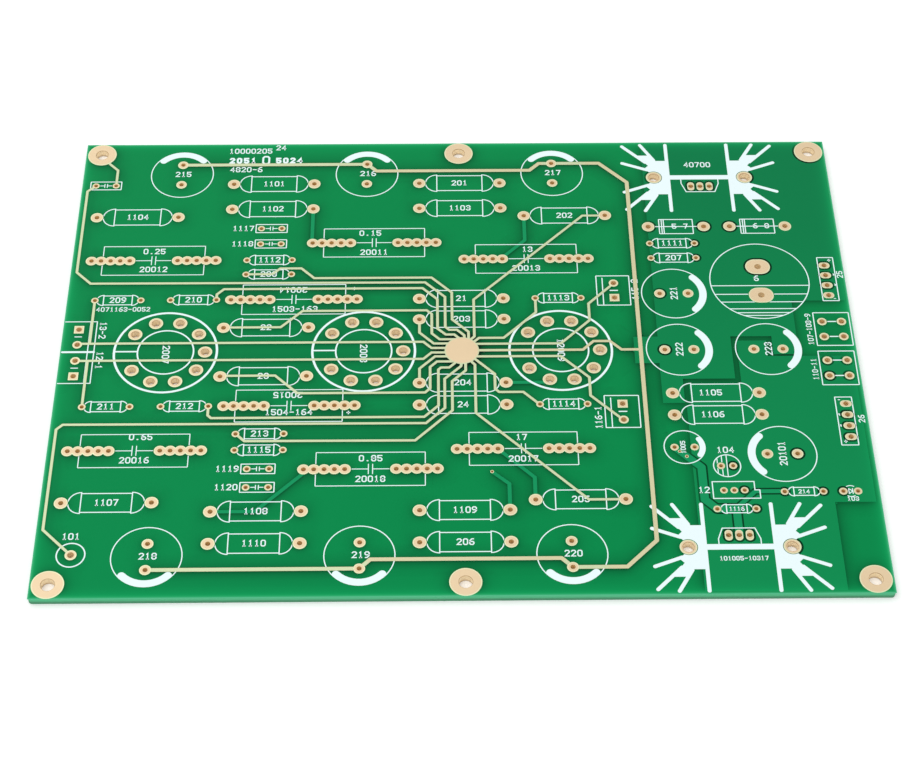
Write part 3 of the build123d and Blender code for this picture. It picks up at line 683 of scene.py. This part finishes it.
def lay_group(wiring, shader, group, depth, strength, **named):
    """Feeds a shader from a group, built once: its colour, its roughness, and its height as a bump of a depth."""
    tree = bpy.data.node_groups.get(group) or GROUPS[group]()
    made = wiring.add("ShaderNodeGroup", node_tree=tree, **named)
    wiring.feed(shader["Base Color"], made["Color"])
    wiring.feed(shader["Roughness"], made["Roughness"])
    wiring.feed(shader["Normal"], wiring.bump(made["Height"], depth, strength))
    return made


def mask_material(name, green, settings):
    """Solder mask: thin green gloss over the tone of a green, which is a colour or a function that wires one.

    Gives the material, its wiring, its shader's inputs and the tone."""
    material, w, shader = principled(name, specular=0.12, tint=(0.08, 1.0, 0.6))
    tone = lay_group(w, shader, "Mask tone", 0.012 * MM, 0.5, Green=green(w) if callable(green) else green,
                     Glow=settings.glow_green, Lip=settings.lip_green, Glow_Reach=settings.glow_reach,
                     Lip_Reach=settings.lip_reach)
    return material, w, shader, tone


def copper_mask_material(settings):
    """Solder mask over the copper areas, with painted shade that darkens it from the front of the board to the
    back.
    """
    def green(w):
        along = w.step(w.axis(w.place(), "Y"), -HALF_WIDTH, HALF_WIDTH)
        return w.blend(along, settings.copper_green, settings.back_green)
    return mask_material("Mask over copper", green, settings)[0]


def band_material(settings):
    """Mask beside copper, with painted shade that darkens it as less of the laminate round it is open to the
    light.
    """
    def green(w):
        return w.blend(w.attribute("shut"), settings.open_green, settings.shut_green)
    return mask_material("Mask beside copper", green, settings)[0]


def laminate_material(settings):
    """Mask on both faces; the cut edge is woven glass in green resin, with painted light that makes it paler
    towards the top and painted shade towards the underside.
    """
    material, w, shader, tone = mask_material("Laminate", settings.open_green, settings)
    place = w.place()
    rise = w.step(w.axis(place, "Z"), BACK, FACE)
    stretched = w.vector("MULTIPLY", place, (420.0, 420.0, 5200.0))[0]
    weave = w.noise(stretched, scale=1.0, detail=2.0)
    uneven = w.maths("ADD", rise, w.sway(weave, 0.35))
    cut = w.blend(w.step(uneven, 0.25, 0.75), settings.laminate_deep, settings.laminate_pale)
    on_face = w.step(w.tilt(), 0.4, 0.8)
    rougher = w.maths("MULTIPLY", w.maths("SUBTRACT", 1.0, on_face), 0.3)
    w.feed(shader["Base Color"], w.blend(on_face, cut, tone["Color"]))
    w.feed(shader["Roughness"], w.maths("ADD", tone["Roughness"], rougher))
    return material


def plated_material(name, metal, rim, settings):
    """Satin plated copper, whose middle is a colour or a function that wires one, with painted shade on the walls
    of narrow holes and painted light on those of wide ones.
    """
    material, w, shader = principled(name, specular=0.5)
    shader["Metallic"].default_value = 0.4
    wide = w.step(w.attribute("bore"), settings.narrow_bore, settings.wide_bore)
    border = {"Rim": rim, "Edge": w.attribute("edge")} if rim else {}
    lay_group(w, shader, "Plating", 0.004 * MM, 0.4, Metal=metal(w) if callable(metal) else metal,
              Lip=settings.lip_brown, Bore=w.blend(wide, settings.bore_brown, settings.bore_gold), **border)
    return material


def star_gold(wiring, centre, settings):
    """Land gold within the star's reach of its middle, and track gold outside it."""
    away = wiring.vector("DISTANCE", wiring.place(), (*centre, FACE))["Value"]
    outside = wiring.step(away, settings.star_reach, settings.star_reach + settings.rim_width)
    return wiring.blend(outside, settings.land_gold, settings.track_gold)


def ink_material(settings):
    """Matt printed ink, a little uneven in cover, with a dry grain."""
    material, w, shader = principled("Printed ink", specular=0.2)
    cover = w.noise(w.place(), scale=1500.0, detail=3.0, roughness=0.6)
    thin = w.maths("MAXIMUM", w.maths("MULTIPLY", w.step(cover, 0.6, 0.85), 0.2), w.attribute("edge"))
    w.feed(shader["Base Color"], w.blend(thin, settings.ink_white, settings.thin_ink))
    w.feed(shader["Roughness"], w.maths("ADD", 0.5, w.maths("MULTIPLY", cover, 0.2)))
    w.feed(shader["Normal"], w.bump(cover, 0.006 * MM, 0.5))
    return material


def dress(obj, material):
    """Gives a piece its only material."""
    obj.data.materials.clear()
    obj.data.materials.append(material)


# ---- printed numbers

# Strokes of each character on a grid 4 wide and 6 high, in a plain plotter style with cut corners
STROKES = {
    "0": [[(0, 1), (0, 5), (1, 6), (3, 6), (4, 5), (4, 1), (3, 0), (1, 0), (0, 1)]],
    "1": [[(1, 5), (2, 6), (2, 0)], [(1, 0), (3, 0)]],
    "2": [[(0, 5), (1, 6), (3, 6), (4, 5), (4, 4), (0, 0), (4, 0)]],
    "3": [[(0, 5), (1, 6), (3, 6), (4, 5), (4, 4), (3, 3), (4, 2), (4, 1), (3, 0), (1, 0), (0, 1)],
          [(1.4, 3), (3, 3)]],
    "4": [[(3, 0), (3, 6), (0, 2), (4, 2)]],
    "5": [[(4, 6), (0, 6), (0, 3.4), (3, 3.4), (4, 2.4), (4, 1), (3, 0), (1, 0), (0, 1)]],
    "6": [[(3.6, 6), (2, 6), (0, 4), (0, 1), (1, 0), (3, 0), (4, 1), (4, 2.2), (3, 3.2), (0.2, 3.2)]],
    "7": [[(0, 6), (4, 6), (1.5, 0)]],
    "8": [[(1, 3), (0, 4), (0, 5), (1, 6), (3, 6), (4, 5), (4, 4), (3, 3), (1, 3), (0, 2), (0, 1), (1, 0), (3, 0),
           (4, 1), (4, 2), (3, 3)]],
    "9": [[(0.4, 0), (2, 0), (4, 2), (4, 5), (3, 6), (1, 6), (0, 5), (0, 3.8), (1, 2.8), (3.8, 2.8)]],
    "+": [[(0.2, 3), (3.8, 3)], [(2, 1.3), (2, 4.7)]],
    "-": [[(0.3, 3), (3.7, 3)]],
    ".": [[(1.6, 0.2), (2.4, 0.2)]],
    "~": [[(0.2, 2.4), (1.2, 3.6), (2.8, 2.4), (3.8, 3.6)]],
}


def stroke_ribbon(points, width, top, bottom):
    """A raised ribbon along a line: at each point it is half the width to each side of the mitred direction.

    Returns its corners and faces: a top, two sides and two ends."""
    points = np.asarray(points, float)
    run = np.diff(points, axis=0)
    run /= np.linalg.norm(run, axis=1, keepdims=True)
    closed = len(points) > 2 and np.allclose(points[0], points[-1])
    first = run[-1] if closed else run[0]
    last = run[0] if closed else run[-1]
    before = np.vstack([first, run])
    after = np.vstack([run, last])
    side = np.stack([-(before + after)[:, 1], (before + after)[:, 0]], axis=1)
    side /= np.linalg.norm(side, axis=1, keepdims=True)
    flat = np.stack([-before[:, 1], before[:, 0]], axis=1)
    side /= np.clip(np.einsum("ij,ij->i", side, flat), 0.5, 1)[:, None]
    ends = np.zeros(len(points))
    if not closed:
        ends[0], ends[-1] = -1, 1
    middle = points + (before + after) / 2 * ends[:, None] * width * 0.4
    left = middle + side * width / 2
    right = middle - side * width / 2
    count = len(points)
    plan = np.concatenate([left, right, left, right])
    height = np.repeat([top, top, bottom, bottom], count)
    corners = np.column_stack([plan, height])
    i = np.arange(count - 1)
    j = i + 1
    faces = np.concatenate([
        np.stack([i, i + count, j + count, j], axis=1),
        np.stack([i, j, j + 2 * count, i + 2 * count], axis=1),
        np.stack([j + count, i + count, i + 3 * count, j + 3 * count], axis=1),
        np.stack([j + 2 * count, j + 3 * count, i + 3 * count, i + 2 * count], axis=1)])
    if not closed:
        caps = np.array([[0, 2, 3, 1], [1, 2, 4, 3]]) * count - [[0], [1]]
        faces = np.concatenate([faces, caps])
    return corners, faces


def print_text(text, centre, turn, scale, weight, settings):
    """Corners and faces of one printed number, centred on a point and turned about it.

    A heavier weight widens the strokes, and the steps between digits a third as fast."""
    grid = np.array([settings.digit_width / 4, settings.digit_height / 6]) * scale
    pitch = settings.digit_pitch * scale * (1 + (weight - 1) / 3)
    start = -(len(text) - 1) / 2 * pitch
    rotation = np.array([[cos(turn), sin(turn)], [-sin(turn), cos(turn)]])
    corners, faces, count = [], [], 0
    for place, character in enumerate(text):
        for stroke in STROKES[character]:
            line = (np.array(stroke, float) - (2, 3)) * grid
            line[:, 0] += start + place * pitch
            made, joined = stroke_ribbon(line @ rotation + centre, settings.stroke * max(scale, 0.75) * weight,
                                         FACE + settings.ink_height, FACE)
            corners.append(made)
            faces.append(joined + count)
            count += len(made)
    return np.concatenate(corners), np.concatenate(faces)


# Numbers by part: land node, lead span, upright pair, digits of each in rows from the back, shift, turn, scale
PAIR_LABELS = [
    ("large_resistor_lands", 22.0, False, "43444323223424344443", (0, 0.1), 0, 1.0),
    ("small_resistor_lands", 12.0, False, "443333433434", (0, 0.1), 0, 1.0),
    ("small_resistor_lands", 9.5, False, "34", (0, 0), 0, 0.64),
    ("channel_electrolytic_lands", 7.5, True, "333333", (0.3, 0.2), 0, 1.0),
    ("power_electrolytic_lands", 7.5, False, "3335", (0, 0.1), 90, 1.0),
    ("small_capacitor_lands", 5.5, False, "04444", (-7.6, 0.1), 0, 0.98),
    ("diode_lands", 15.0, False, "11", (-0.5, 0.15), 0, 0.95),
    ("diode_lands", 15.0, False, "11", (2.6, 0.15), 0, 0.95),
]
POWER_SHIFT = -1.4  # the large resistors over the lower copper area have their numbers further left
# Labels from the middle of a whole node: text, shift, and where they differ from 0 and 1 also turn and scale
NODE_LABELS = [
    ("ground_wire_land", "101", (-0.45, 5.4)),
    ("trimmer_lands", "12", (-7.4, 0.15)),
    ("lamp_lands", "103", (0.3, -2.25), 0, 0.66),
    ("adjust_capacitor_lands", "104", (0, 4.9)),
    ("output_capacitor_lands", "1005", (-0.4, 0), 90, 0.66),
    ("reservoir_capacitor_lands", "6", (-0.75, 0.9)),
    ("mains_terminal_lands", "107-108-9", (-6.15, 0), 90, 0.78),
    ("heater_terminal_lands", "110-11", (-6.1, -0.4), 90, 0.78),
]
# Film capacitors in rows from the back: text and shift of the first number, then of the second with its turn
FILM_LABELS = [
    ("0.15", (-1.1, 3.5), "20011", (0, -3.4), 0),
    ("0.25", (0, 3.3), "20012", (0.2, -3.1), 0),
    ("13", (0.4, 3.4), "20013", (-0.1, -3.3), 0),
    ("1503-163", (0.3, -3.3), "20014", (-0.3, 3.3), 180),
    ("1504-164", (0, -2.05), "20015", (-0.4, 3.45), 180),
    ("0.65", (1.3, 4.3), "20016", (0.2, -2.9), 0),
    ("17", (-0.4, 3.6), "20017", (-0.1, -3.1), 0),
    ("0.85", (0, 3.3), "20018", (0, -3.0), 0),
]
# The same from the middle of a node's holes in the back half of the board, then in the front half
ROW_LABELS = {
    "rectifier_lands": [
        [("+", (1.5, 7.1), 0, 0.8), ("~", (2.15, 2.0), 90, 0.6), ("~", (2.15, -1.6), 90, 0.6),
         ("-", (1.5, -6.4), 0, 0.5), ("25", (3.75, 2.0), 90, 0.86)],
        [("-", (-1.6, 6.5), 0, 0.5), ("~", (-2.1, 1.8), 90, 0.6), ("~", (-2.1, -1.7), 90, 0.6),
         ("+", (-1.5, -6.7), 0, 0.8), ("26", (3.35, 0.4), 90, 0.86)]],
    "input_terminal_lands": [[("13-2", (6.15, 2.25), -90, 0.95)], [("12-1", (6.15, 2.65), -90, 0.95)]],
    "output_terminal_lands": [[("115-2", (5.5, 0.3), 90, 0.95)], [("116-1", (-6.3, -1.8), 90, 0.95)]],
    "heat_sink_lands": [[("40700", (-0.2, 4.85))], [("101085-10317", (0.55, -3.3), 0, 0.65)]],
}
# Numbers beside the back left electrolytic: text, shift, scale, weight
CORNER_LABELS = [
    ("10000205", (18.4, 9.05), 1.0, 1.0),
    ("24", (26.8, 10.3), 1.0, 1.0),
    ("2051", (16.4, 5.35), 1.0, 1.85),
    ("0", (22.8, 5.5), 1.7, 1.0),
    ("5024", (29.2, 5.35), 1.0, 1.85),
    ("4820-6", (17.5, 1.9), 1.0, 1.0),
]


def all_labels():
    """Every printed number: text, place, turn, scale and weight.

    Numbers with the same count of digits run on from part to part."""
    labels = []

    def add(text, place, shift=(0, 0), turn=0, scale=1.0, weight=1.0):
        labels.append((text, place + np.array(shift) * MM, radians(turn), scale, weight))

    following = {1: 5, 2: 21, 3: 201, 4: 1101, 5: 20101}
    for node, span, upright, digits, shift, turn, scale in PAIR_LABELS:
        for count, place in zip(map(int, digits), pair_centres(node, span, upright)):
            if count:
                if node == "large_resistor_lands" and place[0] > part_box("upper_copper_area")[0].x:
                    place = place + (POWER_SHIFT * MM, 0)
                add(str(following[count]), place, shift, turn, scale)
                following[count] += 1
    for node, text, *rest in NODE_LABELS:
        add(text, middle_of(node), *rest)
    strips = pair_centres("film_capacitor_strips", 22.86)[2::5]
    for (text, shift, second, second_shift, turn), place in zip(FILM_LABELS, strips):
        add(text, place, shift)
        add(second, place, second_shift, turn)
        if turn:
            add("+", place, (15.8, 3.7) if place[1] > 0 else (15.0, -2.3), scale=0.9)
    for node, rows in ROW_LABELS.items():
        for row, place in zip(rows, row_middles(node)):
            for text, *rest in row:
                add(text, place, *rest)
    low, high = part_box("legend_tube_sockets")
    radius = (high.y - low.y) / 2
    for text, x in zip(("12007", "12008", "12009"), (low.x + radius, (low.x + high.x) / 2, high.x - radius)):
        add(text, np.array([x, 0]), (0.1, 0), -90)
    add("4071163-0052", np.array([low.x, high.y]), (1.4, 1.1), scale=0.78)
    corner = pair_centres("channel_electrolytic_lands", 7.5, True)[0]
    for text, shift, scale, weight in CORNER_LABELS:
        add(text, corner, shift, 0, scale, weight)
    return labels


# ---- stage

FLOOR_HALF = 4.0  # half the side of the paper
SOFTBOX_SIDES = 1.1, 0.9
SOFTBOXES = {"front": (-0.35, -0.45, 1.15), "back": (-0.5, 0.45, 1.05)}  # place of each, by its lamp setting
AIM = (0.313 * MM, -12.95 * MM, FACE)  # point of the board that the camera looks at


def add_floor(settings):
    """A wide paper floor in the plane that the board rests on.

    Part of its white is its own light, seen by the eye and in gloss but not cast on the board."""
    corners = FLOOR_HALF * np.array([(-1, -1, 0), (1, -1, 0), (1, 1, 0), (-1, 1, 0)])
    floor = add_mesh("paper_floor", corners, [[0, 1, 2, 3]], smooth=False)
    material, w, shader = principled("Paper", specular=0.0)
    shader["Roughness"].default_value = 0.9
    tooth = w.noise(w.place(), scale=300.0, detail=4.0)
    w.feed(shader["Base Color"], w.blend(w.maths("MULTIPLY", tooth, 0.02), settings.floor_white, (0.8, 0.8, 0.8)))
    rays = w.add("ShaderNodeLightPath")
    seen = w.maths("MAXIMUM", rays["Is Camera Ray"], rays["Is Glossy Ray"])
    shader["Emission Color"].default_value = (1.0, 1.0, 1.0, 1.0)
    w.feed(shader["Emission Strength"], w.maths("MULTIPLY", seen, settings.floor_lift))
    floor.data.materials.append(material)


def add_light(settings):
    """An even sky and two large soft lamps: one high at the front left, one in the metal's mirror direction."""
    world = bpy.context.scene.world or bpy.data.worlds.new("Studio")
    bpy.context.scene.world = world
    world.use_nodes = True
    background = world.node_tree.nodes["Background"]
    background.inputs["Color"].default_value = (1, 1, 1, 1)
    background.inputs["Strength"].default_value = settings.sky
    for name, place in SOFTBOXES.items():
        lamp = bpy.data.lights.new(name + "_softbox", "AREA")
        lamp.shape = "RECTANGLE"
        lamp.size, lamp.size_y = SOFTBOX_SIDES
        lamp.energy = getattr(settings, name + "_lamp")
        put_facing(lamp, Vector(place), -Vector(place))


def put_facing(data, place, view, roll=0.0):
    """An object for a lamp or camera at a place, which looks along a direction."""
    made = bpy.data.objects.new(data.name, data)
    bpy.context.scene.collection.objects.link(made)
    turn = view.to_track_quat("-Z", "Y").to_matrix().to_4x4() @ Matrix.Rotation(roll, 4, "Z")
    made.matrix_world = Matrix.Translation(place) @ turn
    return made


def add_camera(settings):
    """The camera on its sphere about the point of the board that it looks at."""
    level = cos(settings.elevation)
    view = Vector((level * sin(settings.azimuth), level * cos(settings.azimuth), -sin(settings.elevation)))
    camera = bpy.data.cameras.new("camera")
    camera.sensor_width = 36.0
    camera.lens = settings.lens
    camera.clip_start = 0.01
    place = Vector(AIM) - view * settings.distance
    bpy.context.scene.camera = put_facing(camera, place, view, settings.roll)


# ---- operators

def settings_of(name):
    """The scene's settings of one kind."""
    return getattr(bpy.context.scene, "board_" + name)


class FinishLaminate(Operator):
    """Gives the laminate its solder mask and its cut edge"""
    bl_idname = "board.finish_laminate"
    bl_label = "Laminate"

    def execute(self, context):
        dress(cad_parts["board_laminate"], laminate_material(settings_of("mask")))
        return {"FINISHED"}


class FinishMaskedCopper(Operator):
    """Drapes the mask over the copper areas and the covered tracks"""
    bl_idname = "board.finish_masked_copper"
    bl_label = "Masked copper"

    def execute(self, context):
        settings = settings_of("mask")
        areas = copper_mask_material(settings)
        tracks = mask_material("Mask over tracks", settings.track_green, settings)[0]
        cover = copper_load() > 0
        for name in MASKED_NODES:
            made = softened(name, [(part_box(name)[1].z, 1, 2)], MASK_EASE, MASK_BORDER, cover=cover)
            dress(made, areas if name.endswith("copper_area") else tracks)
        return {"FINISHED"}


class AddMaskRim(Operator):
    """Adds the thicker mask that climbs to every copper edge, with painted shade beside the copper"""
    bl_idname = "board.add_mask_rim"
    bl_label = "Mask rim"

    def execute(self, context):
        settings = settings_of("mask")
        load = copper_load()
        cover = load > 0
        totals = running_totals(load)
        material = band_material(settings)
        for name in LAND_NODES + TRACK_NODES + MASKED_NODES:
            made = rim_band(name, settings.rim_reach, settings.crest, cover, totals)
            dress(made, material)
        return {"FINISHED"}


class FinishLands(Operator):
    """Rounds and plates every land and its hole"""
    bl_idname = "board.finish_lands"
    bl_label = "Plated lands"

    def execute(self, context):
        settings = settings_of("metal")
        material = plated_material("Plated land", settings.land_gold, settings.rim_gold, settings)
        for name in LAND_NODES:
            low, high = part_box(name)
            rim_width = settings.rim_width * NARROW_LANDS.get(name, 1)
            made = softened(name, [(high.z, 1, 2), (low.z, -1, 1)], settings.ease, rim_width)
            dress(made, material)
        return {"FINISHED"}


class FinishTracks(Operator):
    """Rounds and plates the bare tracks, the bus and the ground star"""
    bl_idname = "board.finish_tracks"
    bl_label = "Bare tracks"

    def execute(self, context):
        settings = settings_of("metal")
        load = copper_load()
        centre = star_middle(load)
        thin = plated_material("Plated track", lambda wiring: star_gold(wiring, centre, settings), None, settings)
        # The bus's rounded rim takes the track colour as its painted highlight
        wide = plated_material("Plated bus", settings.bus_gold, settings.track_gold, settings)
        for name in TRACK_NODES:
            made = softened(name, [(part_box(name)[1].z, 1, 2)], settings.ease, settings.track_rim, cover=load > 0)
            dress(made, wide if name == "ground_bus" else thin)
        return {"FINISHED"}


class FinishLegend(Operator):
    """Gives the printed outlines their ink and its soft edge"""
    bl_idname = "board.finish_legend"
    bl_label = "Printed legend"

    def execute(self, context):
        settings = settings_of("print")
        material = ink_material(settings)
        for name in LEGEND_NODES:
            made = softened(name, [(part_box(name)[1].z, 1, 1)], settings.ease, settings.border, settings.spread)
            dress(made, material)
        return {"FINISHED"}


class PrintNumbers(Operator):
    """Prints a plain number beside or inside each part's outline"""
    bl_idname = "board.print_numbers"
    bl_label = "Printed numbers"

    def execute(self, context):
        settings = settings_of("print")
        made = [print_text(*label, settings) for label in all_labels()]
        counts = np.cumsum([0] + [len(corners) for corners, _ in made])
        corners = np.concatenate([corners for corners, _ in made])
        faces = np.concatenate([faces + count for (_, faces), count in zip(made, counts)])
        numbers = add_mesh("printed_numbers", corners, faces.tolist(), smooth=False)
        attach(numbers, "root")
        dress(numbers, bpy.data.materials["Printed ink"])
        return {"FINISHED"}


class BuildStage(Operator):
    """Adds the floor, the light and the camera"""
    bl_idname = "board.build_stage"
    bl_label = "Stage"

    def execute(self, context):
        settings = settings_of("stage")
        add_floor(settings)
        add_light(settings)
        add_camera(settings)
        return {"FINISHED"}


class BoardPanel(Panel):
    """Lists the board's layers"""
    bl_idname = "VIEW3D_PT_board"
    bl_label = "Phono preamplifier board"
    bl_space_type = "VIEW_3D"
    bl_region_type = "UI"
    bl_category = "Board"

    def draw(self, context):
        for operator in OPERATORS:
            self.layout.operator(operator.bl_idname)
        for name in SETTINGS:
            box = self.layout.box()
            group = settings_of(name)
            for key in group.bl_rna.properties.keys():
                if key not in ("rna_type", "name"):
                    box.prop(group, key)


SETTINGS = {"mask": MaskSettings, "metal": MetalSettings, "print": PrintSettings, "stage": StageSettings}
OPERATORS = [FinishLaminate, FinishMaskedCopper, AddMaskRim, FinishLands, FinishTracks, FinishLegend,
             PrintNumbers, BuildStage]

register_classes, unregister_classes = bpy.utils.register_classes_factory(
    (*SETTINGS.values(), *OPERATORS, BoardPanel))


def register():
    register_classes()
    for name, group in SETTINGS.items():
        setattr(Scene, "board_" + name, PointerProperty(type=group))


def unregister():
    for name in SETTINGS:
        delattr(Scene, "board_" + name)
    unregister_classes()


def main():
    """Builds every layer in order."""
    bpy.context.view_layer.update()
    register()
    bpy.context.scene.view_settings.view_transform = "Standard"
    bpy.ops.board.finish_laminate()
    bpy.ops.board.finish_masked_copper()
    bpy.ops.board.add_mask_rim()
    bpy.ops.board.finish_lands()
    bpy.ops.board.finish_tracks()
    bpy.ops.board.finish_legend()
    bpy.ops.board.print_numbers()
    bpy.ops.board.build_stage()


if __name__ == "__main__":
    main()
